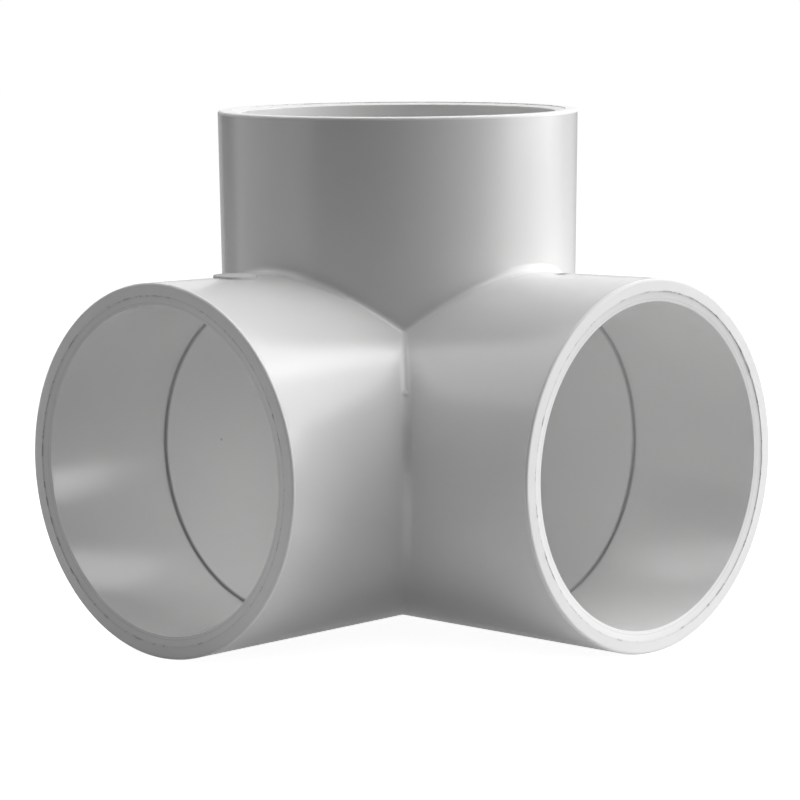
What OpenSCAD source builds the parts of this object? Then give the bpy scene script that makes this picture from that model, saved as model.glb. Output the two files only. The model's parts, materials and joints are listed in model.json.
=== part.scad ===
// Side outlet elbow: three equal pipe sockets at right angles on one hollow moulded body.
// The origin is where the three socket axes meet. The sockets open along +X, +Y and +Z.
// All sizes are in millimetres and degrees.

/* [Sockets] */
// Outside diameter of the pipe that each socket takes
pipe_od = 60.3; // [48.3:0.1:88.9]
// Mean gap between the pipe and its socket, all round
pipe_gap = 0.05; // [0.03:0.01:0.3]
// Depth of each socket, from the face to the pipe stop
socket_depth = 29.5; // [24:0.5:50]
// Height of the pipe stop, the step from the socket down to the waterway behind it
stop_step = 0.7; // [0.5:0.05:3]
// Bevel on the inner edge of the pipe stop
stop_edge = 0.3; // [0.1:0.05:0.45]
// How far each pipe stop lies beyond the side of the waterway that crosses it
stop_clear = 4.7; // [2:0.1:20]

/* [Hubs] */
// Thickness of the wall round each socket, at the mouth
socket_wall = 4.35; // [3.9:0.05:6]
// Draft of the outside of each hub, which narrows towards the body
hub_draft = 0.85; // [0.3:0.05:1.2]
// Bevel that breaks the outer edge of each hub's face
face_edge = 0.3; // [0.1:0.05:0.8]

/* [Mouths] */
// Radial width of the shallow lead-in ring round each socket
lead_in_width = 1.8; // [0.8:0.1:2.4]
// How far the lead-in ring sinks below the face where it meets the bore
lead_in_depth = 0.45; // [0.2:0.05:1.2]
// Bevel between the lead-in ring and the bore
bore_edge = 0.2; // [0.1:0.05:0.4]

/* [Creases] */
// Radius of the fillets in the three creases where the hubs meet
crease_radius = 1.6; // [0.8:0.1:3]

/* [Moulding marks] */
// Diameter of the round flat pad on top of the X hub
pad_d = 8.0; // [5:0.5:10]
// Height of the pad above the highest line of the hub
pad_h = 0.5; // [0.2:0.1:1]
// Distance of the pad's centre from the X hub's pipe stop, towards the mouth
pad_past_stop = 9.8; // [7:0.1:16]
// Diameter of the round sunk mark on top of the Y hub
pin_mark_d = 2.6; // [1.5:0.1:5]
// Depth of the sunk mark below the highest line of the hub
pin_mark_depth = 0.7; // [0.3:0.1:1.2]
// Distance of the sunk mark's centre from the Y hub's pipe stop, towards the mouth
pin_mark_past_stop = 7.8; // [5:0.1:18]

/* [Hidden] */
$fn = 180;

// How far a fillet's edges and ends are buried in the hubs
bury = 0.02;
// How deep a fillet reaches into the wall below the crease
root = 1;
// Overlap of a cutting shape past the face that it cuts
past = 1;
// Steps along each fillet, and across it
crease_steps = 34;
arc_steps = 6;
// A fillet starts this many degrees round from the underside, where the hubs are all but flush
crease_start = 11;
// The three fillets meet where the angle reaches this value
crease_end = 135;

socket_r = pipe_od / 2 + pipe_gap;
waterway_r = socket_r - stop_step;
// Distances from the meeting point of the axes to each pipe stop and to each face
stop_at = waterway_r + stop_clear;
centre_to_face = stop_at + socket_depth;
lead_in_r = socket_r + bore_edge + lead_in_width;
hub_r = socket_r + socket_wall;
hub_slope = tan(hub_draft);
// Radius of the body at the meeting point of the axes
body_r = hub_r - centre_to_face * hub_slope;
pad_at = stop_at + pad_past_stop;
pin_mark_at = stop_at + pin_mark_past_stop;

// Radius of the outside of a hub at a distance along its axis
function hub_r_at(d) = body_r + d * hub_slope;

// Turns a point about the diagonal, so that X goes to Y, Y to Z and Z to X
function turned(p) = [p[2], p[0], p[1]];
function turned_by(p, times) = times == 0 ? p : turned_by(turned(p), times - 1);

// A ball that rests on two hubs rolls along their crease: distance of its centre from each axis
function ball_r(a) = (body_r + crease_radius / cos(hub_draft)) / (1 - hub_slope * sin(a));
// Centre of the ball on the X and Y hubs, at an angle round from the underside
function ball_centre(a) = ball_r(a) * [sin(a), sin(a), -cos(a)];
// Outward direction of the X hub and of the Y hub, where the ball touches them
function out_x(a) = [-sin(hub_draft), cos(hub_draft) * sin(a), -cos(hub_draft) * cos(a)];
function out_y(a) = [out_x(a)[1], out_x(a)[0], out_x(a)[2]];
function out_z(a) = [cos(hub_draft) * sin(a), cos(hub_draft) * sin(a), -sin(hub_draft)];

// Directions from one to the other of two unit vectors along the arc between them
function between(u, v, t) =
    let (angle = acos(u * v))
    (sin((1 - t) * angle) * u + sin(t * angle) * v) / sin(angle);

function crease_angle(i) = crease_start + (crease_end - crease_start) * i / crease_steps;
// The ends of an arc are sunk a little below the hubs that they touch
function reach(at_end) = crease_radius + (at_end ? bury : 0);

// One point of the fillet between the X and Y hubs
function arc_point(i, j) =
    let (a = crease_angle(i))
    ball_centre(a) - reach(j == 0 || j == arc_steps) * between(out_x(a), out_y(a), j / arc_steps);
// The buried line that closes the fillet inside the wall
function root_point(i) =
    let (a = crease_angle(i))
    ball_centre(a) * (1 - (crease_radius * sqrt(2) + root) / ball_r(a));

// The corner where the three fillets meet is a piece of one ball, on a grid of weights for X, Y and Z
corner = ball_centre(crease_end);
corner_turn = acos(out_x(crease_end) * out_y(crease_end)) / arc_steps;
function corner_point(i, j) =
    let (
        k = arc_steps - i - j,
        sum = sin(i * corner_turn) * out_x(crease_end)
            + sin(j * corner_turn) * out_y(crease_end)
            + sin(k * corner_turn) * out_z(crease_end)
    )
    corner - reach(max(i, j, k) == arc_steps) * sum / norm(sum);

// Places of the points in the list: the corner's grid first, then the three strips, then the roots
corner_count = (arc_steps + 1) * (arc_steps + 2) / 2;
strip_count = crease_steps * (arc_steps + 1);
function in_corner(i, j) = i * (arc_steps + 1) - i * (i - 1) / 2 + j;
// The last step of each strip is an edge of the corner's grid
function corner_edge(strip, j) =
    strip == 0 ? in_corner(arc_steps - j, j) :
    strip == 1 ? in_corner(0, arc_steps - j) :
    in_corner(j, 0);
function in_arc(strip, i, j) =
    i == crease_steps
        ? corner_edge(strip, j)
        : corner_count + strip * strip_count + i * (arc_steps + 1) + j;
function in_root(strip, i) =
    corner_count + 3 * strip_count + (i == crease_steps ? 3 * crease_steps : strip * crease_steps + i);
// A ring round a strip: across the arc, then through the root
function in_ring(strip, i, j) = j > arc_steps ? in_root(strip, i) : in_arc(strip, i, j);

crease_points = concat(
    [for (i = [0:arc_steps], j = [0:arc_steps - i]) corner_point(i, j)],
    [for (strip = [0:2], i = [0:crease_steps - 1], j = [0:arc_steps]) turned_by(arc_point(i, j), strip)],
    [for (strip = [0:2], i = [0:crease_steps - 1]) turned_by(root_point(i), strip)],
    [root_point(crease_steps)]
);

crease_faces = concat(
    [for (strip = [0:2], i = [0:crease_steps - 1], j = [0:arc_steps + 1]) each
        let (next = (j + 1) % (arc_steps + 2))
        [
            [in_ring(strip, i, j), in_ring(strip, i + 1, j), in_ring(strip, i + 1, next)],
            [in_ring(strip, i, j), in_ring(strip, i + 1, next), in_ring(strip, i, next)]
        ]
    ],
    [for (strip = [0:2], j = [0:arc_steps - 1])
        [in_root(strip, 0), in_arc(strip, 0, j), in_arc(strip, 0, j + 1)]],
    [for (i = [0:arc_steps - 1], j = [0:arc_steps - 1 - i])
        [in_corner(i + 1, j), in_corner(i, j), in_corner(i, j + 1)]],
    [for (i = [0:arc_steps - 2], j = [0:arc_steps - 2 - i])
        [in_corner(i, j + 1), in_corner(i + 1, j + 1), in_corner(i + 1, j)]]
);

// Points a shape that stands along +Z along the axis of one hub
module along(axis) {
    rotate(axis == "x" ? [0, 90, 0] : axis == "y" ? [-90, 0, 0] : [0, 0, 0])
        children();
}

// The outside of one hub, from the meeting point of the axes to its face
module hub() {
    cylinder(h = centre_to_face - face_edge, r1 = body_r, r2 = hub_r_at(centre_to_face - face_edge));
    translate([0, 0, centre_to_face - face_edge])
        cylinder(h = face_edge, r1 = hub_r_at(centre_to_face - face_edge), r2 = hub_r - face_edge);
}

// The hollow of one leg: waterway, pipe stop, socket, bevelled bore and lead-in ring
module leg_hollow() {
    rotate_extrude()
        polygon([
            [0, 0],
            [waterway_r, 0],
            [waterway_r, stop_at - stop_edge],
            [waterway_r + stop_edge, stop_at],
            [socket_r, stop_at],
            [socket_r, centre_to_face - lead_in_depth - bore_edge],
            [socket_r + bore_edge, centre_to_face - lead_in_depth],
            [lead_in_r, centre_to_face],
            [lead_in_r, centre_to_face + past],
            [0, centre_to_face + past]
        ]);
}

// The fillets in the three creases, which run together in the corner between the hubs
module crease_fillets() {
    polyhedron(points = crease_points, faces = crease_faces, convexity = 6);
}

// The round flat pad that the moulding leaves on top of the X hub
module pad() {
    translate([pad_at, 0, waterway_r + root])
        cylinder(h = hub_r_at(pad_at) + pad_h - waterway_r - root, d = pad_d);
}

// The round mark that a pin leaves in the top of the Y hub
module pin_mark() {
    translate([0, pin_mark_at, hub_r_at(pin_mark_at) - pin_mark_depth])
        cylinder(h = pin_mark_depth + past, d = pin_mark_d);
}

module elbow_body() {
    color("white")
        difference() {
            union() {
                // The rounded heel behind the meeting point of the axes
                sphere(r = body_r);
                for (axis = ["x", "y", "z"]) along(axis) hub();
                crease_fillets();
                pad();
            }
            sphere(r = waterway_r);
            for (axis = ["x", "y", "z"]) along(axis) leg_hollow();
            pin_mark();
        }
}

elbow_body();
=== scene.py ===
"""The looks of a white PVC side outlet elbow: three equal sockets at right angles on one moulded body.

The file makes the moulded skin with its mould marks, the plastic, and the studio and camera of a plain
product picture. Lengths are in metres and angles in radians, unless a name says otherwise.
"""

import json
import logging
import math
from dataclasses import dataclass
from enum import Enum
from typing import Any

import bmesh
import bpy
from mathutils import Matrix, Vector


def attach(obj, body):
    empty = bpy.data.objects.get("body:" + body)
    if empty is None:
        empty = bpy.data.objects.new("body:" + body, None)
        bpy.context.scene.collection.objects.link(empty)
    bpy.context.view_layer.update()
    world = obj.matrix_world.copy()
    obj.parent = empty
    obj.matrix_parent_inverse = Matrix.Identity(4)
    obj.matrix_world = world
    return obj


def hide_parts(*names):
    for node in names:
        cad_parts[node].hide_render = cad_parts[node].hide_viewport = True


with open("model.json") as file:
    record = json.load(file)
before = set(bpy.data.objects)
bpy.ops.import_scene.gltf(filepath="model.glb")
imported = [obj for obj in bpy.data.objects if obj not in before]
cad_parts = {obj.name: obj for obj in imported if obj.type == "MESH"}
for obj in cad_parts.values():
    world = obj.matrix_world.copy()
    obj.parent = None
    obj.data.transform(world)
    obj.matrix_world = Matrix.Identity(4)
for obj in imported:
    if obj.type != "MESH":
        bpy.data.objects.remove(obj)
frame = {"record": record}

LOG = logging.getLogger("side_outlet_elbow")
MM = 0.001
QUARTER = math.pi / 2
NODE = "elbow_body"
BODY = "root"
SLOT = "white_pvc"

# A place along a leg and its distance from the leg's axis
Row = tuple[float, float]
# Two values between which something fades in
Band = tuple[float, float]
Point = tuple[float, float, float]
Faces = list[tuple[int, ...]]


@dataclass(frozen=True)
class FittingSizes:
    """Sizes of the fitting. Those that take the pipe come from the record's mounts."""

    stop_at: float
    centre_to_face: float
    socket_r: float
    # How much wider the socket is at its mouth than on average, and how much narrower at the stop
    socket_taper: float = 0.1 * MM
    stop_step: float = 0.7 * MM
    stop_edge: float = 0.3 * MM
    # Radius of the round at the foot of the pipe stop
    stop_root: float = 0.12 * MM
    socket_wall: float = 4.35 * MM
    hub_draft: float = math.radians(0.85)
    face_edge: float = 0.45 * MM
    lead_in_width: float = 1.8 * MM
    lead_in_depth: float = 0.45 * MM
    bore_edge: float = 0.2 * MM
    # Step from the lead-in ring up to the face round it
    ring_step: float = 0.12 * MM
    crease_radius: float = 1.6 * MM

    @classmethod
    def from_record(cls, record: dict[str, Any]) -> "FittingSizes":
        """Reads the sizes that mate with other things.

        Args:
            record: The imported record.

        Returns:
            The sizes, with the rest at their own values.
        """
        mounts = {mount["name"]: mount for mount in record["mounts"]}
        return cls(
            stop_at=mounts["socket_x"]["pos_m"][0],
            centre_to_face=mounts["face_x"]["pos_m"][0],
            socket_r=mounts["socket_x"]["dims"]["r_mm"] * MM,
        )

    @property
    def waterway_r(self) -> float:
        """Radius of the bore behind the pipe stop."""
        return self.socket_r - self.stop_step

    @property
    def hub_r(self) -> float:
        """Outside radius of a hub at its mouth."""
        return self.socket_r + self.socket_wall

    @property
    def slope(self) -> float:
        """Growth of a hub's outside radius for each metre along it."""
        return math.tan(self.hub_draft)

    @property
    def body_r(self) -> float:
        """Outside radius where the axes meet."""
        return self.hub_r - self.centre_to_face * self.slope

    @property
    def lead_in_r(self) -> float:
        """Radius at which the lead-in ring meets the face."""
        return self.socket_r + self.bore_edge + self.lead_in_width

    def hub_r_at(self, along: float) -> float:
        """Outside radius of a hub at a distance along its axis."""
        return self.body_r + along * self.slope


@dataclass(frozen=True)
class MarkSizes:
    """Sizes of the marks that the mould leaves."""

    pad_r: float = 4.0 * MM
    pad_height: float = 0.5 * MM
    pad_past_stop: float = 9.8 * MM
    pad_edge: float = 0.3 * MM
    pin_r: float = 1.3 * MM
    pin_depth: float = 0.7 * MM
    pin_past_stop: float = 7.8 * MM
    # How tall the shape is that is joined or cut for a mark
    reach: float = 2.0 * MM
    parting_height: float = 0.016 * MM
    parting_width: float = 0.16 * MM
    flash_r: float = 0.13 * MM
    flash_wander: float = 0.4 * MM


@dataclass(frozen=True)
class Texture:
    """A noise texture, and how far it moves a finish's tone, its roughness and its height in millimetres."""

    scale: float
    detail: float
    roughness: float
    tone: float = 0.0
    rough: float = 0.0
    height: float = 0.0


class Value:
    """A number socket of a node tree. Python's operators on it add Math nodes to the tree."""

    def __init__(self, graph: "NodeGraph", socket: bpy.types.NodeSocket) -> None:
        """Wraps a socket of the graph."""
        self.graph = graph
        self.socket = socket

    def _math(self, operation: str, *values: Any) -> "Value":
        """Adds one Math node."""
        return self.graph.value("ShaderNodeMath", {"operation": operation}, dict(enumerate(values)))

    def __add__(self, other: Any) -> "Value":
        """Sum."""
        return self._math("ADD", self, other)

    __radd__ = __add__

    def __sub__(self, other: Any) -> "Value":
        """Difference."""
        return self._math("SUBTRACT", self, other)

    def __rsub__(self, other: Any) -> "Value":
        """Difference from a plain number."""
        return self._math("SUBTRACT", other, self)

    def __mul__(self, other: Any) -> "Value":
        """Product."""
        return self._math("MULTIPLY", self, other)

    __rmul__ = __mul__

    def __truediv__(self, other: Any) -> "Value":
        """Quotient."""
        return self._math("DIVIDE", self, other)

    def __rtruediv__(self, other: Any) -> "Value":
        """Quotient of a plain number."""
        return self._math("DIVIDE", other, self)

    def __neg__(self) -> "Value":
        """Negative."""
        return self * -1.0

    def __gt__(self, other: Any) -> "Value":
        """One where this is greater, and otherwise zero."""
        return self._math("GREATER_THAN", self, other)

    def angle(self, ahead: "Value") -> "Value":
        """Angle of the direction with this much sideways and that much ahead."""
        return self._math("ARCTAN2", self, ahead)

    def exp(self) -> "Value":
        """Exponential."""
        return self._math("EXPONENT", self)

    def sqrt(self) -> "Value":
        """Square root."""
        return self._math("SQRT", self)

    def abs(self) -> "Value":
        """Absolute value."""
        return self._math("ABSOLUTE", self)

    def max(self, other: Any) -> "Value":
        """The greater of two."""
        return self._math("MAXIMUM", self, other)

    def min(self, other: Any) -> "Value":
        """The lesser of two."""
        return self._math("MINIMUM", self, other)

    def step(self, low: Any, high: Any) -> "Value":
        """A smooth step from zero at low to one at high."""
        return self.graph.value(
            "ShaderNodeMapRange",
            {"interpolation_type": "SMOOTHSTEP"},
            {"Value": self, "From Min": low, "From Max": high},
        )

    def hump(self, centre: float, width: float) -> "Value":
        """One at the centre, and soft to zero over the width on both sides."""
        share = (self - centre) / width
        return (-(share * share)).exp()


class NodeGraph:
    """A node tree that is filled call by call."""

    def __init__(self, tree: bpy.types.NodeTree) -> None:
        """Takes the tree to fill."""
        self.tree = tree

    @classmethod
    def of(cls, owner: Any) -> "NodeGraph":
        """Empties the tree of a material or a world and takes it."""
        owner.use_nodes = True
        owner.node_tree.nodes.clear()
        return cls(owner.node_tree)

    def node(
        self, kind: str, settings: dict[str, Any] | None = None, inputs: dict[Any, Any] | None = None
    ) -> Any:
        """Adds any node.

        Args:
            kind: The node's type.
            settings: The node's own properties, set before its sockets.
            inputs: Values or links of its sockets, by name or number.

        Returns:
            The new node.
        """
        node = self.tree.nodes.new(kind)
        for name, setting in (settings or {}).items():
            setattr(node, name, setting)
        for name, item in (inputs or {}).items():
            socket = node.inputs[name]
            source = item.socket if isinstance(item, Value) else item
            if isinstance(source, bpy.types.NodeSocket):
                self.tree.links.new(source, socket)
            else:
                socket.default_value = source
        return node

    def value(
        self, kind: str, settings: dict[str, Any] | None = None, inputs: dict[Any, Any] | None = None
    ) -> Value:
        """Adds a node and wraps its first output that is in use.

        Args:
            kind: The node's type.
            settings: The node's own properties, set before its sockets.
            inputs: Values or links of its sockets, by name or number.

        Returns:
            The node's value.
        """
        node = self.node(kind, settings, inputs)
        return Value(self, next(output for output in node.outputs if output.enabled))

    def parts(self, vector: Any) -> list[Value]:
        """Splits a vector into its three values."""
        split = self.node("ShaderNodeSeparateXYZ", inputs={0: vector})
        return [Value(self, socket) for socket in split.outputs]

    def noise(self, texture: Texture, place: Any = None) -> Any:
        """Adds a noise texture.

        Args:
            texture: What it is like.
            place: Where it is read, if not at the tree's own place.

        Returns:
            The texture's node, whose first output is its strength.
        """
        inputs = {"Scale": texture.scale, "Detail": texture.detail, "Roughness": texture.roughness}
        if place is not None:
            inputs["Vector"] = place
        return self.node("ShaderNodeTexNoise", inputs=inputs)

    def strength(self, texture: Texture, place: Any = None) -> Value:
        """Adds a noise texture and gives its strength."""
        return Value(self, self.noise(texture, place).outputs[0])

    def mixed(self, share: Value, first: Any, second: Any) -> Any:
        """Mixes two shaders by the second one's share."""
        return self.node("ShaderNodeMixShader", inputs={0: share, 1: first, 2: second}).outputs[0]

    def ray(self, kind: str) -> Value:
        """One for rays of a kind, and otherwise zero."""
        return Value(self, self.node("ShaderNodeLightPath").outputs[kind])

    def seen(self) -> Value:
        """One for rays that show the background: from the camera, from gloss or through glass."""
        return self.ray("Is Camera Ray").max(self.ray("Is Glossy Ray")).max(self.ray("Is Transmission Ray"))


class GeometryTree(NodeGraph):
    """A Geometry Nodes tree with named inputs."""

    def __init__(self, name: str) -> None:
        """Starts the tree with its geometry in and out."""
        super().__init__(bpy.data.node_groups.new(name, "GeometryNodeTree"))
        self.identifiers: dict[str, str] = {}
        self.inlet = self.node("NodeGroupInput")
        self.outlet = self.node("NodeGroupOutput")
        for end in ("INPUT", "OUTPUT"):
            self.tree.interface.new_socket("Geometry", in_out=end, socket_type="NodeSocketGeometry")

    def size(self, name: str, kind: str = "NodeSocketFloat") -> Value:
        """Adds a named input.

        Args:
            name: The input's name.
            kind: The input's socket type.

        Returns:
            The input inside the tree.
        """
        item = self.tree.interface.new_socket(name, in_out="INPUT", socket_type=kind)
        self.identifiers[name] = item.identifier
        return Value(self, self.inlet.outputs[name])

    def place(self) -> list[Value]:
        """Position of a point along the three axes."""
        return self.parts(self.node("GeometryNodeInputPosition").outputs[0])

    def about_diagonal(self, geometry: bpy.types.NodeSocket, copies: Value) -> bpy.types.NodeSocket:
        """Repeats geometry about the diagonal of the three axes.

        Args:
            geometry: What is repeated.
            copies: How many there are, over a full turn.

        Returns:
            The copies, realized.
        """
        index = self.value("GeometryNodeInputIndex")
        turn = self.value(
            "FunctionNodeAxisAngleToRotation",
            inputs={"Axis": (1.0, 1.0, 1.0), "Angle": index * math.tau / copies},
        )
        points = self.node("GeometryNodePoints", inputs={"Count": copies})
        instances = self.node(
            "GeometryNodeInstanceOnPoints",
            inputs={"Points": points.outputs[0], "Instance": geometry, "Rotation": turn},
        )
        return self.node("GeometryNodeRealizeInstances", inputs={"Geometry": instances.outputs[0]}).outputs[0]

    def moved(self, geometry: bpy.types.NodeSocket, towards: Any, distance: Value) -> bpy.types.NodeSocket:
        """Moves each point of some geometry.

        Args:
            geometry: What is moved.
            towards: Where each point goes, as a vector.
            distance: How far it goes, in lengths of its vector.

        Returns:
            The moved geometry.
        """
        offset = self.node("ShaderNodeVectorMath", {"operation": "SCALE"}, {0: towards, "Scale": distance})
        return self.node(
            "GeometryNodeSetPosition", inputs={"Geometry": geometry, "Offset": offset.outputs[0]}
        ).outputs[0]

    def finish(self, geometry: bpy.types.NodeSocket) -> None:
        """Ends the tree in Realize Instances and Set Material.

        Args:
            geometry: What the tree has made.
        """
        material = self.size("Material", "NodeSocketMaterial")
        realized = self.node("GeometryNodeRealizeInstances", inputs={"Geometry": geometry})
        dressed = self.node(
            "GeometryNodeSetMaterial", inputs={"Geometry": realized.outputs[0], "Material": material}
        )
        self.tree.links.new(dressed.outputs[0], self.outlet.inputs[0])

    def run(self, piece: bpy.types.Object, values: dict[str, Any]) -> None:
        """Runs the tree on a piece and keeps the result as the piece's plain mesh.

        Args:
            piece: The object whose mesh goes in.
            values: The named inputs' values.
        """
        modifier = piece.modifiers.new(self.tree.name, "NODES")
        modifier.node_group = self.tree
        for name, item in values.items():
            modifier[self.identifiers[name]] = item
        bake_modifiers(piece)


def bake_modifiers(piece: bpy.types.Object) -> None:
    """Replaces a piece's mesh by what its modifiers make of it, and removes them.

    Args:
        piece: The object with the modifiers.
    """
    evaluated = piece.evaluated_get(bpy.context.evaluated_depsgraph_get())
    mesh = bpy.data.meshes.new_from_object(evaluated)
    piece.modifiers.clear()
    piece.data = mesh


def new_piece(name: str, points: list[Vector] | None = None, faces: Faces | None = None) -> Any:
    """Makes an object at the origin and links it to the scene.

    Args:
        name: The object's name.
        points: The points of its mesh.
        faces: The faces of its mesh.

    Returns:
        The object.
    """
    mesh = bpy.data.meshes.new(name)
    mesh.from_pydata([tuple(point) for point in points or []], [], faces or [])
    piece = bpy.data.objects.new(name, mesh)
    bpy.context.scene.collection.objects.link(piece)
    return piece


def arc(along: float, radial: float, radius: float, start: float, end: float, steps: int = 4) -> list[Row]:
    """Rows round a small arc in a section.

    Args:
        along: The centre's first coordinate.
        radial: The centre's second coordinate.
        radius: The arc's radius.
        start: The first angle, from the first coordinate's direction towards the second's.
        end: The last angle.
        steps: How many steps there are.

    Returns:
        The rows, both ends included.
    """
    angles = [start + (end - start) * i / steps for i in range(steps + 1)]
    return [(along + radius * math.cos(angle), radial + radius * math.sin(angle)) for angle in angles]


def between(first: Row, last: Row, shares: tuple[float, ...]) -> list[Row]:
    """Rows at shares of the way from one row to another."""
    return [(first[0] + (last[0] - first[0]) * s, first[1] + (last[1] - first[1]) * s) for s in shares]


def quarter_angles() -> list[float]:
    """Angles over a quarter turn, closer at both ends, where the parting line and the creases end.

    Returns:
        The angles, both ends included.
    """
    close_deg = [0.0, 0.16, 0.36, 0.7, 1.3, 2.2]
    first_deg, middle_deg, count = 3.5, 45.0, 29
    even_deg = [first_deg + (middle_deg - first_deg) * i / (count - 1) for i in range(count)]
    half_deg = close_deg + even_deg
    mirrored_deg = [2.0 * middle_deg - angle for angle in reversed(half_deg[:-1])]
    return [math.radians(angle) for angle in half_deg + mirrored_deg]


class SkinPart:
    """Points and faces of a part of the skin, with the share by which each point lies on the outside."""

    def __init__(self, sizes: FittingSizes) -> None:
        """Keeps the sizes and starts with no points."""
        self.sizes = sizes
        self.points: list[Vector] = []
        self.faces: Faces = []
        self.outside: list[float] = []

    def add(self, points: list[Vector], outside: list[float]) -> list[int]:
        """Adds points.

        Args:
            points: The new points.
            outside: The share by which each lies on the outside.

        Returns:
            Their places in the list of points.
        """
        first = len(self.points)
        self.points += points
        self.outside += outside
        return list(range(first, len(self.points)))

    def add_outside(self, points: list[Vector]) -> list[int]:
        """Adds points that all lie on the outside and returns their places."""
        return self.add(points, [1.0] * len(points))

    def strip(self, left: list[int], right: list[int]) -> None:
        """Adds the faces between two lines of points."""
        for i in range(len(left) - 1):
            self.faces.append((left[i], left[i + 1], right[i + 1], right[i]))

    def piece(self, name: str) -> bpy.types.Object:
        """Makes an object of the part, on which an attribute says what lies outside.

        Args:
            name: The object's name.

        Returns:
            The object.
        """
        piece = new_piece(name, self.points, self.faces)
        attribute = piece.data.attributes.new("outside", "FLOAT", "POINT")
        attribute.data.foreach_set("value", self.outside)
        return piece


class LegSkin(SkinPart):
    """Mesh of the leg along +X, inside and outside, with half of each crease that borders it.

    A column is a line along the leg at one angle round its axis, counted from +Y towards +Z. A row goes
    round.
    """

    CREASE_STEPS = 9
    # Turn round from the underside over which a crease's fillet grows to its full radius
    FADE_END = math.radians(15.0)
    # Turn round from the underside at which the three creases meet
    CORNER_TURN = 1.5 * QUARTER
    # Two hubs count as flush where they meet at a smaller angle than this
    FLUSH = math.radians(0.1)
    # Distance from an edge to the row that keeps the flat beside it evenly shaded
    GUARD = 0.04 * MM
    # Where the rows lie on each stretch, as shares of the way along it
    ON_WATERWAY = (*(i / 12 for i in range(12)), 0.998)
    ON_SOCKET = (0.002, 0.1, 0.3, 0.5, 0.7, 0.9, 0.998)
    ON_BORE_EDGE = (0.0, 0.25, 0.5, 0.75, 1.0)
    ON_LEAD_IN = (0.04, 0.3, 0.6, 0.96, 1.0)
    ON_FACE = (0.0, 0.04, 0.3, 0.7, 0.96)
    ON_OUTSIDE = (
        0.002, 0.01, 0.03, 0.07, 0.13, 0.2, 0.28, 0.36, 0.44, 0.52, 0.6,
        0.68, 0.76, 0.83, 0.89, 0.94, 0.97, 0.985, 0.992, 0.996, 0.998, 1.0,
    )

    def __init__(self, sizes: FittingSizes) -> None:
        """Joins the columns all round, then the creases and the corner between them."""
        super().__init__(sizes)
        stop = self.stop_rows()
        self.mouth = stop + self.socket_rows(stop[-1]) + self.face_rows()
        quarter = quarter_angles()[:-1]
        thetas = [(q - 1) * QUARTER + angle for q in range(4) for angle in quarter]
        creased = 3 * len(quarter) + 1
        columns = [self.add_column(theta, i < creased) for i, theta in enumerate(thetas)]
        for i, column in enumerate(columns):
            self.strip(column, columns[(i + 1) % len(columns)])
        self.add_creases(thetas[:creased], columns)

    def stop_rows(self) -> list[Row]:
        """Rows over the edge of the pipe stop and down its step.

        Returns:
            The rows, up to where the socket begins.
        """
        s = self.sizes
        deep_r = s.socket_r - s.socket_taper
        edge = arc(s.stop_at - s.stop_edge, s.waterway_r + s.stop_edge, s.stop_edge, -QUARTER, 0.0)
        step = [
            (s.stop_at, s.waterway_r + s.stop_edge + self.GUARD),
            (s.stop_at, deep_r - s.stop_root - self.GUARD),
        ]
        root = arc(s.stop_at + s.stop_root, deep_r - s.stop_root, s.stop_root, 2.0 * QUARTER, QUARTER, 3)
        return edge + step + root

    def socket_rows(self, start: Row) -> list[Row]:
        """Rows through the socket, over the edge of its bore and across the lead-in ring.

        Args:
            start: The row at which the socket begins.

        Returns:
            The rows, up to the foot of the step to the face.
        """
        s = self.sizes
        wide_r = s.socket_r + s.socket_taper
        ring_foot = s.centre_to_face - s.lead_in_depth
        ring_slope = (s.lead_in_depth - s.ring_step) / s.lead_in_width
        bore_end = (ring_foot - s.bore_edge, wide_r)
        corner = (ring_foot, wide_r)
        ring_start = (ring_foot + ring_slope * (s.bore_edge - s.socket_taper), s.socket_r + s.bore_edge)
        rows = between(start, bore_end, self.ON_SOCKET)
        for share in self.ON_BORE_EDGE:
            here = (share,)
            inner, outer = between(bore_end, corner, here)[0], between(corner, ring_start, here)[0]
            rows += between(inner, outer, here)
        return rows + between(ring_start, (s.centre_to_face - s.ring_step, s.lead_in_r), self.ON_LEAD_IN)

    def face_rows(self) -> list[Row]:
        """Rows across the face and round its outer edge."""
        s = self.sizes
        face_end = (s.centre_to_face, s.hub_r - s.face_edge)
        edge = arc(s.centre_to_face - s.face_edge, s.hub_r - s.face_edge, s.face_edge, 0.0, QUARTER)
        return between((s.centre_to_face, s.lead_in_r), face_end, self.ON_FACE) + edge

    def ball_column(self, theta: float) -> list[Vector]:
        """Half of the fillet towards the leg along +Y, at one column.

        A ball that rests on both hubs rolls along their crease. It shrinks to nothing towards the underside,
        where the hubs lie flush.

        Args:
            theta: The column's angle, from straight down to half way up between the other two legs.

        Returns:
            Points from where the ball touches this hub to the plane between the hubs.
        """
        turn = theta + QUARTER
        share = min(1.0, turn / self.FADE_END)
        radius = self.sizes.crease_radius * share * share * (3.0 - 2.0 * share)
        centre = self.ball_centre(turn, radius)
        own, other, _ = self.contact_directions(turn)
        flush = own.angle(other, 0.0) < self.FLUSH
        points = []
        for i in range(self.CREASE_STEPS + 1):
            part = 0.5 * i / self.CREASE_STEPS
            lean = own.lerp(other, part) if flush else own.slerp(other, part)
            points.append(centre - radius * lean.normalized())
        return points

    def ball_centre(self, turn: float, radius: float) -> Vector:
        """Centre of a ball that rests on the X and Y hubs.

        Args:
            turn: The ball's angle round from the underside.
            radius: The ball's radius.

        Returns:
            The centre.
        """
        s = self.sizes
        from_axis = (s.body_r + radius / math.cos(s.hub_draft)) / (1.0 - s.slope * math.sin(turn))
        return from_axis * Vector((math.sin(turn), math.sin(turn), -math.cos(turn)))

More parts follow.
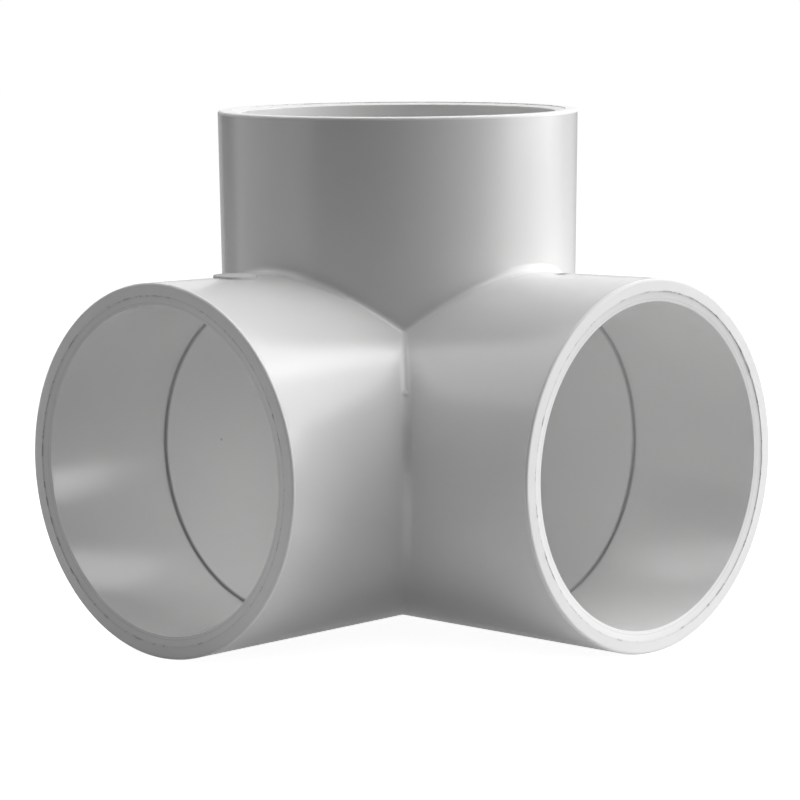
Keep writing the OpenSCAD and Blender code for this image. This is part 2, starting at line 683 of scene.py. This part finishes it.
    def contact_directions(self, turn: float) -> tuple[Vector, Vector, Vector]:
        """Outward directions of the hubs where the ball touches them.

        Args:
            turn: The ball's angle round from the underside.

        Returns:
            The directions of the X, Y and Z hubs.
        """
        sine, cosine = math.sin(self.sizes.hub_draft), math.cos(self.sizes.hub_draft)
        up, side = -cosine * math.cos(turn), cosine * math.sin(turn)
        return Vector((-sine, side, up)), Vector((side, -sine, up)), Vector((side, side, -sine))

    def crease_column(self, theta: float) -> list[Vector]:
        """Half of the fillet at any column that ends in a crease.

        Args:
            theta: The column's angle.

        Returns:
            Points from this hub to the plane between the hubs.
        """
        if theta <= QUARTER / 2:
            return self.ball_column(theta)
        return self.mirrored(self.ball_column(QUARTER - theta))

    @staticmethod
    def mirrored(points: list[Vector]) -> list[Vector]:
        """Points with +Y and +Z changed over."""
        return [Vector((p.x, p.z, p.y)) for p in points]

    def add_column(self, theta: float, in_crease: bool) -> list[int]:
        """Adds one column, from the edge of the waterway out over the mouth and back to the body.

        Args:
            theta: The column's angle.
            in_crease: Whether the column ends in a crease, and not on the heel.

        Returns:
            The places of its points.
        """
        s = self.sizes
        water_start, hub_start = 0.0, 0.0
        if in_crease:
            water_start = s.waterway_r * max(math.cos(theta), math.sin(theta), 0.0)
            hub_start = max(self.crease_column(theta)[0].x, 0.0)
        inner = between((water_start, s.waterway_r), self.mouth[0], self.ON_WATERWAY) + self.mouth
        outer = between(self.mouth[-1], (hub_start, s.hub_r_at(hub_start)), self.ON_OUTSIDE)
        points = [Vector((t, r * math.cos(theta), r * math.sin(theta))) for t, r in inner + outer]
        return self.add(points, [0.0] * len(inner) + [1.0] * len(outer))

    def add_creases(self, thetas: list[float], columns: list[list[int]]) -> None:
        """Adds the half fillets along both creases and this leg's part of the corner.

        Args:
            thetas: Angles of the columns that end in a crease.
            columns: The places of each column's points.
        """
        creases = []
        for theta, column in zip(thetas, columns):
            creases.append([column[-1]] + self.add_outside(self.crease_column(theta)[1:]))
        middle = len(thetas) // 2
        beyond = self.mirrored(self.crease_column(thetas[middle]))[1:]
        turned = [columns[middle][-1]] + self.add_outside(beyond)
        for i in range(len(thetas) - 1):
            self.strip(turned if i == middle else creases[i], creases[i + 1])
        self.add_corner(creases[middle], turned)

    def add_corner(self, towards_y: list[int], towards_z: list[int]) -> None:
        """Adds this leg's third of the ball where the creases meet.

        Args:
            towards_y: The half fillet's points towards the Y leg.
            towards_z: The half fillet's points towards the Z leg.
        """
        steps = self.CREASE_STEPS
        centre = self.ball_centre(self.CORNER_TURN, self.sizes.crease_radius)
        own, left, right = self.contact_directions(self.CORNER_TURN)
        full = own.angle(left)
        parts = [0.5 * i / steps for i in range(steps + 1)]
        weights = [math.sin(full * part) / math.sin(full * (1.0 - part)) for part in parts]
        lines = [towards_y]
        for j in range(1, steps + 1):
            leans = [own + weight * left + weights[j] * right for weight in weights[1:]]
            points = [centre - self.sizes.crease_radius * lean.normalized() for lean in leans]
            lines.append([towards_z[j]] + self.add_outside(points))
        for line, next_line in zip(lines, lines[1:]):
            self.strip(line, next_line)


class HeelSkin(SkinPart):
    """The eighth of a ball that closes the body behind the axes, outside and inside."""

    def __init__(self, sizes: FittingSizes) -> None:
        """Makes both shells."""
        super().__init__(sizes)
        self.add_shell(sizes.body_r, 1.0)
        self.add_shell(sizes.waterway_r, 0.0)

    def add_shell(self, radius: float, outside: float) -> None:
        """Adds one shell as a grid from its level edge down to the pole.

        Args:
            radius: The shell's radius.
            outside: One for the outside, and zero for the inside.
        """
        angles = quarter_angles()
        lines = []
        for down in angles:
            level, depth = math.cos(down), math.sin(down)
            points = [
                -radius * Vector((math.cos(turn) * level, math.sin(turn) * level, depth)) for turn in angles
            ]
            lines.append(self.add(points, [outside] * len(points)))
        for upper, lower in zip(lines, lines[1:]):
            self.strip(upper, lower)


class MarkKind(Enum):
    """How a mark's shape changes the skin, as its Boolean operation."""

    RAISED = "UNION"
    SUNK = "DIFFERENCE"


@dataclass(frozen=True)
class RoundMark:
    """A short upright round shape that is joined with the skin or cut from it."""

    name: str
    kind: MarkKind
    x: float
    y: float
    radius: float
    low: float
    high: float
    around: int
    # Radius of its upper edge
    edge: float = 0.0

    def section(self) -> list[Row]:
        """Radius and height of its corners, from the lower end up and round the upper edge."""
        foot = [(self.radius, self.low)]
        if self.edge > 0.0:
            return foot + arc(self.radius - self.edge, self.high - self.edge, self.edge, 0.0, QUARTER)
        return foot + [(self.radius, self.high)]

    def shape(self) -> bpy.types.Object:
        """Turns the section into a closed shape.

        Returns:
            The shape, as an object.
        """
        section = self.section()
        count = len(section)
        points, faces = [], []
        for i in range(self.around):
            angle = math.tau * i / self.around
            points += [
                Vector((self.x + r * math.cos(angle), self.y + r * math.sin(angle), z)) for r, z in section
            ]
            left, right = i * count, (i + 1) % self.around * count
            faces += [(left + j, right + j, right + j + 1, left + j + 1) for j in range(count - 1)]
        faces.append(tuple(i * count for i in reversed(range(self.around))))
        faces.append(tuple(i * count + count - 1 for i in range(self.around)))
        return new_piece(self.name, points, faces)

    def apply_to(self, body: bpy.types.Object) -> None:
        """Joins the shape with the skin, or cuts it from the skin.

        Args:
            body: The skin.
        """
        shape = self.shape()
        modifier = body.modifiers.new(self.name, "BOOLEAN")
        modifier.operation = self.kind.value
        modifier.solver = "EXACT"
        modifier.object = shape
        bake_modifiers(body)
        bpy.data.objects.remove(shape)


@dataclass(frozen=True)
class MouldedBody:
    """The moulded body: the skin with its parting line, the round pad and the sunk mark."""

    sizes: FittingSizes
    marks: MarkSizes
    plastic: bpy.types.Material
    legs: int = 3
    weld: float = 0.001 * MM
    # Edges that turn by more than this are shaded sharp
    sharp: float = math.radians(32.0)
    pad_sides: int = 96
    pin_sides: int = 48

    def build(self) -> bpy.types.Object:
        """Makes the body.

        Returns:
            The body, as one closed mesh.
        """
        body = LegSkin(self.sizes).piece("elbow_skin")
        heel = HeelSkin(self.sizes).piece("heel_skin")
        self.tree().run(body, {
            "Legs": self.legs,
            "Heel": heel,
            "Weld Distance": self.weld,
            "Parting Height": self.marks.parting_height,
            "Parting Width": self.marks.parting_width,
            "Material": self.plastic,
        })
        bpy.data.objects.remove(heel)
        turn_outwards(body.data)
        for mark in self.round_marks():
            mark.apply_to(body)
        body.data.shade_smooth()
        body.data.set_sharp_from_angle(angle=self.sharp)
        return body

    def tree(self) -> GeometryTree:
        """Builds the tree that repeats the leg, closes the heel and raises the parting line.

        Returns:
            The tree.
        """
        tree = GeometryTree("moulded_skin")
        copies = tree.size("Legs", "NodeSocketInt")
        heel = tree.size("Heel", "NodeSocketObject")
        weld = tree.size("Weld Distance")
        height = tree.size("Parting Height")
        width = tree.size("Parting Width")
        legs = tree.about_diagonal(tree.inlet.outputs["Geometry"], copies)
        heel_mesh = tree.node("GeometryNodeObjectInfo", inputs={"Object": heel}).outputs["Geometry"]
        joined = tree.node("GeometryNodeJoinGeometry")
        for part in (legs, heel_mesh):
            tree.tree.links.new(part, joined.inputs[0])
        welded = tree.node(
            "GeometryNodeMergeByDistance", inputs={"Geometry": joined.outputs[0], "Distance": weld}
        )
        _, _, z = tree.place()
        level = z / width
        outside = tree.value("GeometryNodeInputNamedAttribute", inputs={"Name": "outside"})
        ridge = height * outside * (-(level * level)).exp()
        normal = tree.node("GeometryNodeInputNormal").outputs[0]
        tree.finish(tree.moved(welded.outputs[0], normal, ridge))
        return tree

    def round_marks(self) -> list[RoundMark]:
        """Places the round pad on top of the X hub and the pin's mark in the top of the Y hub.

        Returns:
            The marks.
        """
        s, m = self.sizes, self.marks
        pad_at, pin_at = s.stop_at + m.pad_past_stop, s.stop_at + m.pin_past_stop
        pad_top = s.hub_r_at(pad_at) + m.pad_height
        pin_floor = s.hub_r_at(pin_at) - m.pin_depth
        return [
            RoundMark("pad", MarkKind.RAISED, x=pad_at, y=0.0, radius=m.pad_r, low=pad_top - m.reach,
                      high=pad_top, around=self.pad_sides, edge=m.pad_edge),
            RoundMark("pin", MarkKind.SUNK, x=0.0, y=pin_at, radius=m.pin_r, low=pin_floor,
                      high=pin_floor + m.reach, around=self.pin_sides),
        ]


@dataclass(frozen=True)
class MouthFlash:
    """The broken bead of flash round the level mouths, where the core met the mould."""

    sizes: FittingSizes
    marks: MarkSizes
    plastic: bpy.types.Material
    mouths: int = 3
    steps_round: int = 900
    bead_sides: int = 8
    # Noise that moves the bead aside, that breaks it, and that gathers the breaks in long stretches
    ragged: Texture = Texture(780.0, 3.0, 0.6)
    breaks: Texture = Texture(260.0, 3.0, 0.65)
    stretches: Texture = Texture(32.5, 1.0, 0.5)
    breaks_band: Band = (0.42, 0.7)
    stretches_band: Band = (0.42, 0.6)
    # The flash thins out from the axes' level up to this height, in radii of its ring
    bare_from: float = 1.5
    # A face whose area is less than this side's square has shrunk to nothing
    least_side: float = 0.004 * MM

    def build(self) -> bpy.types.Object:
        """Makes the flash.

        Returns:
            The flash, as closed beads in one mesh.
        """
        flash = new_piece("mouth_flash")
        self.tree().run(flash, {
            "Mouths": self.mouths,
            "Ring Radius": self.sizes.lead_in_r,
            "Face Distance": self.sizes.centre_to_face,
            "Bead Radius": self.marks.flash_r,
            "Wander": self.marks.flash_wander,
            "Steps Round": self.steps_round,
            "Material": self.plastic,
        })
        self.close_beads(flash.data)
        flash.data.shade_smooth()
        return flash

    def tree(self) -> GeometryTree:
        """Builds the tree that lays the bead round each mouth.

        Returns:
            The tree.
        """
        tree = GeometryTree("mouth_flash")
        copies = tree.size("Mouths", "NodeSocketInt")
        ring_r = tree.size("Ring Radius")
        face_at = tree.size("Face Distance")
        bead_r = tree.size("Bead Radius")
        wander = tree.size("Wander")
        steps = tree.size("Steps Round", "NodeSocketInt")
        ring = tree.node("GeometryNodeCurvePrimitiveCircle", inputs={"Resolution": steps, "Radius": ring_r})
        lift = tree.node("ShaderNodeCombineXYZ", inputs={"Z": face_at})
        lifted = tree.node(
            "GeometryNodeTransform", inputs={"Geometry": ring.outputs[0], "Translation": lift.outputs[0]}
        )
        rings = tree.about_diagonal(lifted.outputs[0], copies)
        centred = tree.node(
            "ShaderNodeVectorMath",
            {"operation": "SUBTRACT"},
            {0: tree.noise(self.ragged).outputs["Color"], 1: (0.5, 0.5, 0.5)},
        )
        rings = tree.moved(rings, centred.outputs[0], wander)
        broken = tree.strength(self.breaks).step(*self.breaks_band)
        gathered = tree.strength(self.stretches).step(*self.stretches_band)
        _, _, z = tree.place()
        share = broken * gathered * (1.0 - z.step(0.0, ring_r * self.bare_from))
        profile = tree.node(
            "GeometryNodeCurvePrimitiveCircle", inputs={"Resolution": self.bead_sides, "Radius": bead_r}
        )
        bead = tree.node(
            "GeometryNodeCurveToMesh",
            inputs={"Curve": rings, "Profile Curve": profile.outputs[0], "Scale": share},
        )
        tree.finish(bead.outputs[0])
        return tree

    def close_beads(self, mesh: bpy.types.Mesh) -> None:
        """Removes the faces where a bead has shrunk to nothing, and closes the ends that this leaves.

        Args:
            mesh: The beads.
        """
        bead = bmesh.new()
        bead.from_mesh(mesh)
        gone = [face for face in bead.faces if face.calc_area() < self.least_side ** 2]
        bmesh.ops.delete(bead, geom=gone, context="FACES")
        ends = [edge for edge in bead.edges if edge.is_boundary]
        # Zero sides stands for no limit on how many sides an end has
        bmesh.ops.holes_fill(bead, edges=ends, sides=0)
        bmesh.ops.recalc_face_normals(bead, faces=bead.faces)
        bead.to_mesh(mesh)
        bead.free()


def turn_outwards(mesh: bpy.types.Mesh) -> None:
    """Turns all the faces of a closed shell outwards.

    Args:
        mesh: The shell.
    """
    shell = bmesh.new()
    shell.from_mesh(mesh)
    bmesh.ops.recalc_face_normals(shell, faces=shell.faces)
    shell.to_mesh(mesh)
    shell.free()


@dataclass(frozen=True)
class DirtAndPaintedShade:
    """Real dirt specks, and painted shade at the pipe stops, along the flash and in the pin's mark: how much
    of the light each takes away, and how wide it lies.
    """

    # Specks are round dots in the middle of some cells
    speck: float = 0.4
    speck_cells: float = 150.0
    speck_band: Band = (0.02, 0.05)
    speck_picked_above: float = 0.94
    # Painted shade: how much the corner at the foot of each pipe stop is darkened
    stop: float = 0.36
    stop_width: float = 0.28 * MM
    # Distances past the socket's radius over which the painted shade at the stops ends
    bore_band: Band = (0.4 * MM, 0.5 * MM)
    # Painted shade: how much the line along the flash round each mouth is darkened
    flash: float = 0.12
    flash_width: float = 0.14 * MM
    flash_texture: Texture = Texture(420.0, 3.0, 0.7, tone=0.28)
    flash_band: Band = (0.52, 0.6)
    # Painted shade: how much the inside of the pin's sunk mark is darkened
    pin: float = 0.95
    # Distances past the pin's radius over which its painted shade ends, and depths below the hub's top line
    # over which it begins, in depths of the mark
    pin_band: Band = (0.1 * MM, 0.3 * MM)
    pin_depths: Band = (2.0, 1.5)
    most: float = 0.95
    roughness: float = 0.4


@dataclass(frozen=True)
class MouldedPlastic:
    """Rigid white PVC as the mould leaves it: half glossy, with faint flow marks and a few specks."""

    tone: float = 0.86
    rim_tone: float = 0.94
    # Share of the tone that blue has
    blue: float = 0.995
    roughness: float = 0.2
    rim_roughness: float = 0.25
    ior: float = 1.53
    cloud: Texture = Texture(22.0, 3.0, 0.5, tone=0.02, rough=0.05)
    mottle: Texture = Texture(90.0, 4.0, 0.6, tone=0.012, rough=0.06, height=0.012)
    grain: Texture = Texture(1500.0, 2.0, 0.5, height=0.0016)
    # The fine rings on the lead-in rings
    turning: Texture = Texture(2600.0, 3.0, 0.7, tone=0.15, height=0.1)
    turning_band: Band = (0.52, 0.6)
    ring_shade: float = 0.03
    # Depths below the face over which the mouth's finish begins, and the width over which a ring ends
    mouth_band: Band = (0.7 * MM, 0.5 * MM)
    ring_fade: float = 0.1 * MM
    # The small pip in the crease between the X and Y hubs, with its height in millimetres
    pip_at: Point = (31.5 * MM, 31.5 * MM, 13.9 * MM)
    pip_width: float = 0.6 * MM
    pip_height: float = 0.25
    # Real dirt specks, plus painted shade at the pipe stops, along the flash and in the pin's mark
    dirt_and_painted_shade: DirtAndPaintedShade = DirtAndPaintedShade()

    def build(self, sizes: FittingSizes, marks: MarkSizes) -> bpy.types.Material:
        """Builds the material.

        Args:
            sizes: The fitting's sizes, for what follows the mouths and the pipe stops.
            marks: The sizes of the mould's marks, for the grime that they hold.

        Returns:
            The material.
        """
        return PlasticShader(self, sizes, marks).build()


class PlasticShader:
    """The material of the moulded plastic, made from where each point of the moulding lies."""

    def __init__(self, finish: MouldedPlastic, sizes: FittingSizes, marks: MarkSizes) -> None:
        """Starts the material with its places and the textures that are used more than once.

        Args:
            finish: The plastic's finish.
            sizes: The fitting's sizes.
            marks: The sizes of the mould's marks.
        """
        self.finish, self.sizes, self.marks = finish, sizes, marks
        self.material = bpy.data.materials.new(SLOT)
        graph = self.graph = NodeGraph.of(self.material)
        self.place = graph.node("ShaderNodeTexCoord").outputs["Object"]
        self.x, self.y, self.z = graph.parts(self.place)
        self.along = self.x.max(self.y).max(self.z)
        squares = self.x * self.x + self.y * self.y + self.z * self.z
        self.from_axis = (squares - self.along * self.along).max(0.0).sqrt()
        mouth_start, mouth_full = (sizes.centre_to_face - depth for depth in finish.mouth_band)
        self.mouth = self.along.step(mouth_start, mouth_full)
        past_ring = self.from_axis.step(sizes.lead_in_r - finish.ring_fade, sizes.lead_in_r)
        self.ring = self.mouth * (1.0 - past_ring)
        self.cloud = graph.strength(finish.cloud, self.place) - 0.5
        self.mottle = graph.strength(finish.mottle, self.place) - 0.5
        # A texture that is read along a line of distances from the axis makes rings
        rings = graph.node("ShaderNodeCombineXYZ", inputs={"X": self.from_axis}).outputs[0]
        self.turning = graph.strength(finish.turning, rings)

    def build(self) -> bpy.types.Material:
        """Joins colour, roughness and bump in one shader.

        Returns:
            The material.
        """
        # Real dirt specks plus painted shade at the stops, along the flash and in the pin's mark
        dirt_and_painted_shade = self.specks() + self.stop_painted_shade() + self.flash_painted_shade() + self.pin_painted_shade()
        tone = self.tone(dirt_and_painted_shade)
        blue = tone * self.finish.blue
        colour = self.graph.node("ShaderNodeCombineColor", inputs={"Red": tone, "Green": tone, "Blue": blue})
        bump = self.graph.node(
            "ShaderNodeBump", inputs={"Strength": 1.0, "Distance": MM, "Height": self.height()}
        )
        shader = self.graph.node("ShaderNodeBsdfPrincipled", inputs={
            "Base Color": colour.outputs[0],
            "Roughness": self.roughness(dirt_and_painted_shade),
            "IOR": self.finish.ior,
            "Normal": bump.outputs[0],
        })
        self.graph.node("ShaderNodeOutputMaterial", inputs={"Surface": shader.outputs[0]})
        return self.material

    def tone(self, dirt_and_painted_shade: Value) -> Value:
        """Tone of the plastic.

        Args:
            dirt_and_painted_shade: How much of the light the dirt specks and the painted shade take away.

        Returns:
            The tone.
        """
        f = self.finish
        clean = f.tone + self.mouth * (f.rim_tone - f.tone)
        clean = clean + self.cloud * f.cloud.tone + self.mottle * f.mottle.tone
        turned = self.ring * (f.ring_shade + self.turning.step(*f.turning_band) * f.turning.tone)
        return clean * (1.0 - dirt_and_painted_shade.min(f.dirt_and_painted_shade.most)) * (1.0 - turned)

    def roughness(self, dirt_and_painted_shade: Value) -> Value:
        """Roughness of the plastic.

        Args:
            dirt_and_painted_shade: How much of the light the dirt specks and the painted shade take away.

        Returns:
            The roughness.
        """
        f = self.finish
        moulded = f.roughness + self.cloud * f.cloud.rough + self.mottle * f.mottle.rough
        return moulded + self.mouth * f.rim_roughness + dirt_and_painted_shade * f.dirt_and_painted_shade.roughness

    def height(self) -> Value:
        """Height of the bump in millimetres: mottle, grain, the rings' turning and the pip."""
        f = self.finish
        grain = self.graph.strength(f.grain, self.place) - 0.5
        turned = self.ring * (self.turning - 0.5) * f.turning.height
        away = self.graph.node(
            "ShaderNodeVectorMath", {"operation": "DISTANCE"}, {0: self.place, 1: f.pip_at}
        ).outputs["Value"]
        pip = Value(self.graph, away).hump(0.0, f.pip_width) * f.pip_height
        return self.mottle * f.mottle.height + grain * f.grain.height + turned + pip

    def specks(self) -> Value:
        """A few tiny dark specks."""
        g = self.finish.dirt_and_painted_shade
        cells = self.graph.node("ShaderNodeTexVoronoi", inputs={"Vector": self.place, "Scale": g.speck_cells})
        from_centre = Value(self.graph, cells.outputs["Distance"])
        parts = self.graph.node("ShaderNodeSeparateColor", inputs={0: cells.outputs["Color"]})
        picked = Value(self.graph, parts.outputs[0]) > g.speck_picked_above
        return (1.0 - from_centre.step(*g.speck_band)) * picked * g.speck

    def stop_painted_shade(self) -> Value:
        """Painted shade: a thin dark line at the foot of each pipe stop, where shade falls in the corner."""
        g = self.finish.dirt_and_painted_shade
        bore_end, past_bore = (self.sizes.socket_r + past for past in g.bore_band)
        in_bore = 1.0 - self.from_axis.step(bore_end, past_bore)
        return self.along.hump(self.sizes.stop_at, g.stop_width) * in_bore * g.stop

    def flash_painted_shade(self) -> Value:
        """Painted shade: a faint broken dark line round each mouth, where the flash and the step to the face
        cast shade.
        """
        g = self.finish.dirt_and_painted_shade
        broken = self.graph.strength(g.flash_texture, self.place).step(*g.flash_band)
        line = self.from_axis.hump(self.sizes.lead_in_r, g.flash_width) * self.mouth
        return line * (g.flash + broken * g.flash_texture.tone)

    def pin_painted_shade(self) -> Value:
        """Painted shade in the pin's sunk mark on top of the Y hub, darkening the recess."""
        g = self.finish.dirt_and_painted_shade
        pin_at = self.sizes.stop_at + self.marks.pin_past_stop
        past = self.y - pin_at
        edge, clean = (self.marks.pin_r + distance for distance in g.pin_band)
        inside = 1.0 - (self.x * self.x + past * past).sqrt().step(edge, clean)
        low, high = (self.sizes.hub_r_at(pin_at) - depth * self.marks.pin_depth for depth in g.pin_depths)
        return inside * self.z.step(low, high) * g.pin


def direction(azimuth: float, elevation: float) -> Vector:
    """Direction from the fitting to what stands at an azimuth and an elevation.

    Args:
        azimuth: Angle round from the -Y axis towards the +X axis.
        elevation: Angle up from the level.

    Returns:
        The direction, of length one.
    """
    level = math.cos(elevation)
    return Vector((math.sin(azimuth) * level, -math.cos(azimuth) * level, math.sin(elevation)))


@dataclass(frozen=True)
class SoftLamp:
    """An area lamp that faces the fitting."""

    name: str
    azimuth_deg: float
    elevation_deg: float
    width: float
    height: float
    power: float
    distance: float = 1.0

    def build(self, target: Vector) -> bpy.types.Object:
        """Hangs the lamp in the scene.

        Args:
            target: The point that it faces.

        Returns:
            The lamp.
        """
        azimuth, elevation = math.radians(self.azimuth_deg), math.radians(self.elevation_deg)
        back = direction(azimuth, elevation)
        light = bpy.data.lights.new(self.name, "AREA")
        light.shape = "RECTANGLE"
        light.size, light.size_y = self.width, self.height
        light.energy = self.power
        lamp = bpy.data.objects.new(self.name, light)
        lamp.location = target + self.distance * back
        lamp.rotation_euler = back.to_track_quat("Z", "Y").to_euler()
        bpy.context.scene.collection.objects.link(lamp)
        return lamp


@dataclass(frozen=True)
class PictureCamera:
    """The camera of the picture. Its place and lens were fitted to the rims, outlines and creases."""

    position: Point = (0.54520, 0.51869, 0.09714)
    heading: float = math.radians(133.567)
    tilt: float = math.radians(6.80)
    roll: float = math.radians(-0.392)
    lens_mm: float = 175.97
    sensor_mm: float = 36.0
    clip_start: float = 0.01

    def build(self) -> bpy.types.Object:
        """Puts the camera in the scene.

        Returns:
            The camera.
        """
        data = bpy.data.cameras.new("camera")
        data.sensor_width = self.sensor_mm
        data.lens = self.lens_mm
        data.clip_start = self.clip_start
        camera = bpy.data.objects.new("camera", data)
        back = direction(self.heading, self.tilt)
        right = Vector((math.cos(self.heading), math.sin(self.heading), 0.0))
        up = back.cross(right)
        across = math.cos(self.roll) * right + math.sin(self.roll) * up
        above = math.cos(self.roll) * up - math.sin(self.roll) * right
        turn = Matrix((across, above, back)).transposed().to_4x4()
        camera.matrix_world = Matrix.Translation(Vector(self.position)) @ turn
        bpy.context.scene.collection.objects.link(camera)
        bpy.context.scene.camera = camera
        return camera


@dataclass(frozen=True)
class DarkParts:
    """The studio's dark parts in reflections, by the angle round from where the picture is taken.

    The front is dark on both sides. Past the lamps the right-hand side is dark, and the left-hand side is
    dark up to the backdrop, which is half dark.
    """

    heading: float
    front: Band = (math.radians(52.0), math.radians(60.0))
    gap_start: Band = (math.radians(123.0), math.radians(130.0))
    gap_end: Band = (math.radians(150.0), math.radians(156.0))
    backdrop: float = 0.5
    # Heights over which the dark parts end, as the upward share of a direction
    front_top: Band = (0.5, 0.62)
    behind_top: Band = (0.04, 0.12)

    def level(self, x: Value, y: Value) -> tuple[Value, Value]:
        """Finds the dark parts along the floor.

        Args:
            x: How far the direction goes along X.
            y: How far it goes along Y.

        Returns:
            For the front and for what lies behind, one where it is dark and zero where it is white.
        """
        ahead = x * math.sin(self.heading) - y * math.cos(self.heading)
        side = x * math.cos(self.heading) + y * math.sin(self.heading)
        right = side.angle(ahead)
        left = -right
        gap = left.step(*self.gap_start) * (1.0 - left.step(*self.gap_end) * self.backdrop)
        return 1.0 - right.abs().step(*self.front), gap.max(right.step(*self.gap_start))

    def all_round(self, x: Value, y: Value, z: Value) -> Value:
        """Finds the dark parts in any direction.

        Args:
            x: How far the direction goes along X.
            y: How far it goes along Y.
            z: How far it goes up.

        Returns:
            One where it is dark and zero where it is white.
        """
        front, behind = self.level(x, y)
        return (front * (1.0 - z.step(*self.front_top))).max(behind * (1.0 - z.step(*self.behind_top)))


@dataclass(frozen=True)
class Floor:
    """The floor: a pale table under the fitting, and the floor past it, which shapes the reflections."""

    height: float
    dark_parts: DarkParts
    half_side: float = 2.0
    # Strength with which it is seen near the fitting, and the distances over which it fades to white
    seen: float = 0.93
    seen_band: Band = (0.1, 0.3)
    # Strengths in reflections: on the table, and past it in white and in dark directions
    table_in_gloss: float = 0.4
    bright_in_gloss: float = 0.85
    dark_in_gloss: float = 0.15
    # Tones that light the fitting from below, and the distances over which the table ends
    table_tone: float = 0.75
    far_tone: float = 0.2
    table_edge: Band = (0.12, 0.3)

    def build(self) -> bpy.types.Object:
        """Lays the floor.

        Returns:
            The floor, with its material.
        """
        half, z = self.half_side, self.height
        corners = [Vector((x, y, z)) for x, y in ((-half, -half), (half, -half), (half, half), (-half, half))]
        floor = new_piece("floor", corners, [(0, 1, 2, 3)])
        material = bpy.data.materials.new("pale_floor")
        graph = NodeGraph.of(material)
        x, y, _ = graph.parts(graph.node("ShaderNodeTexCoord").outputs["Object"])
        away = (x * x + y * y).sqrt()
        past_table = away.step(*self.table_edge)
        pale, grey = (
            graph.node("ShaderNodeBsdfDiffuse", inputs={"Color": (tone, tone, tone, 1.0)}).outputs[0]
            for tone in (self.table_tone, self.far_tone)
        )
        matt = graph.mixed(past_table, pale, grey)
        glow = graph.mixed(
            graph.ray("Is Camera Ray"), self.gloss_glow(graph, x, y, past_table), self.seen_glow(graph, away)
        )
        both = graph.node("ShaderNodeAddShader", inputs={0: matt, 1: glow}).outputs[0]
        graph.node("ShaderNodeOutputMaterial", inputs={"Surface": graph.mixed(graph.seen(), matt, both)})
        floor.data.materials.append(material)
        return floor

    def seen_glow(self, graph: NodeGraph, away: Value) -> Any:
        """Light that the camera sees: a little below white near the fitting, and white away from it."""
        near, far = self.emission(graph, self.seen), self.emission(graph, 1.0)
        return graph.mixed(away.step(*self.seen_band), near, far)

    def gloss_glow(self, graph: NodeGraph, x: Value, y: Value, past_table: Value) -> Any:
        """Light that reflections see.

        Args:
            graph: The floor's material.
            x: How far a point lies along X.
            y: How far it lies along Y.
            past_table: Zero on the table and one past it.

        Returns:
            The shader.
        """
        front, behind = self.dark_parts.level(x, y)
        bright, dark = self.emission(graph, self.bright_in_gloss), self.emission(graph, self.dark_in_gloss)
        beyond = graph.mixed(front.max(behind), bright, dark)
        return graph.mixed(past_table, self.emission(graph, self.table_in_gloss), beyond)

    @staticmethod
    def emission(graph: NodeGraph, strength: float) -> Any:
        """Adds a white light of constant strength."""
        return graph.node("ShaderNodeEmission", inputs={"Strength": strength}).outputs[0]


@dataclass(frozen=True)
class Surroundings:
    """The world: white where it is seen, with dark parts in reflections, and all but dark as a light."""

    dark_parts: DarkParts
    dim: float = 0.01
    white: tuple[float, float, float, float] = (1.0, 1.0, 1.0, 1.0)

    def build(self) -> bpy.types.World:
        """Makes the world.

        Returns:
            The world.
        """
        world = bpy.data.worlds.new("white_surroundings")
        bpy.context.scene.world = world
        graph = NodeGraph.of(world)
        x, y, z = graph.parts(graph.node("ShaderNodeTexCoord").outputs["Generated"])
        share = graph.seen() * (1.0 - graph.ray("Is Glossy Ray") * self.dark_parts.all_round(x, y, z))
        dim, bright = (
            graph.node("ShaderNodeBackground", inputs={"Color": self.white, "Strength": strength}).outputs[0]
            for strength in (self.dim, 1.0)
        )
        graph.node("ShaderNodeOutputWorld", inputs={"Surface": graph.mixed(share, dim, bright)})
        return world


@dataclass(frozen=True)
class Studio:
    """Pale floor, white surroundings, soft lamps and the camera of the picture."""

    floor_height: float
    target: Point = (0.012, 0.012, 0.010)
    camera: PictureCamera = PictureCamera()
    lamps: tuple[SoftLamp, ...] = (
        SoftLamp("right_side", azimuth_deg=233.6, elevation_deg=22.0, width=0.90, height=0.80, power=4.9),
        SoftLamp("right_low", azimuth_deg=225.6, elevation_deg=8.0, width=0.85, height=0.35, power=2.1),
        SoftLamp("right_high", azimuth_deg=236.6, elevation_deg=62.0, width=1.10, height=0.90, power=7.6),
        SoftLamp("left_high", azimuth_deg=28.6, elevation_deg=50.0, width=0.90, height=0.80, power=2.8),
    )

    def build(self) -> None:
        """Builds the floor, the world, the lamps and the camera."""
        dark_parts = DarkParts(self.camera.heading)
        Floor(self.floor_height, dark_parts).build()
        Surroundings(dark_parts).build()
        for lamp in self.lamps:
            lamp.build(Vector(self.target))
        self.camera.build()


def dress(piece: bpy.types.Object) -> None:
    """Makes a piece part of the body and logs how many faces it has.

    Args:
        piece: The finished piece.
    """
    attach(piece, BODY)
    LOG.info("%s: %d faces", piece.name, len(piece.data.polygons))


def main() -> None:
    """Builds the fitting and its studio."""
    logging.basicConfig(level=logging.INFO, format="%(name)s: %(message)s")
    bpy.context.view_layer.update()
    sizes = FittingSizes.from_record(frame["record"])
    marks = MarkSizes()
    Studio(floor_height=-sizes.hub_r).build()
    plastic = MouldedPlastic().build(sizes, marks)
    body = MouldedBody(sizes, marks, plastic).build()
    dress(body)
    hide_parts(NODE)
    dress(MouthFlash(sizes, marks, plastic).build())
    bpy.context.scene.view_settings.view_transform = "Standard"


if __name__ == "__main__":
    main()
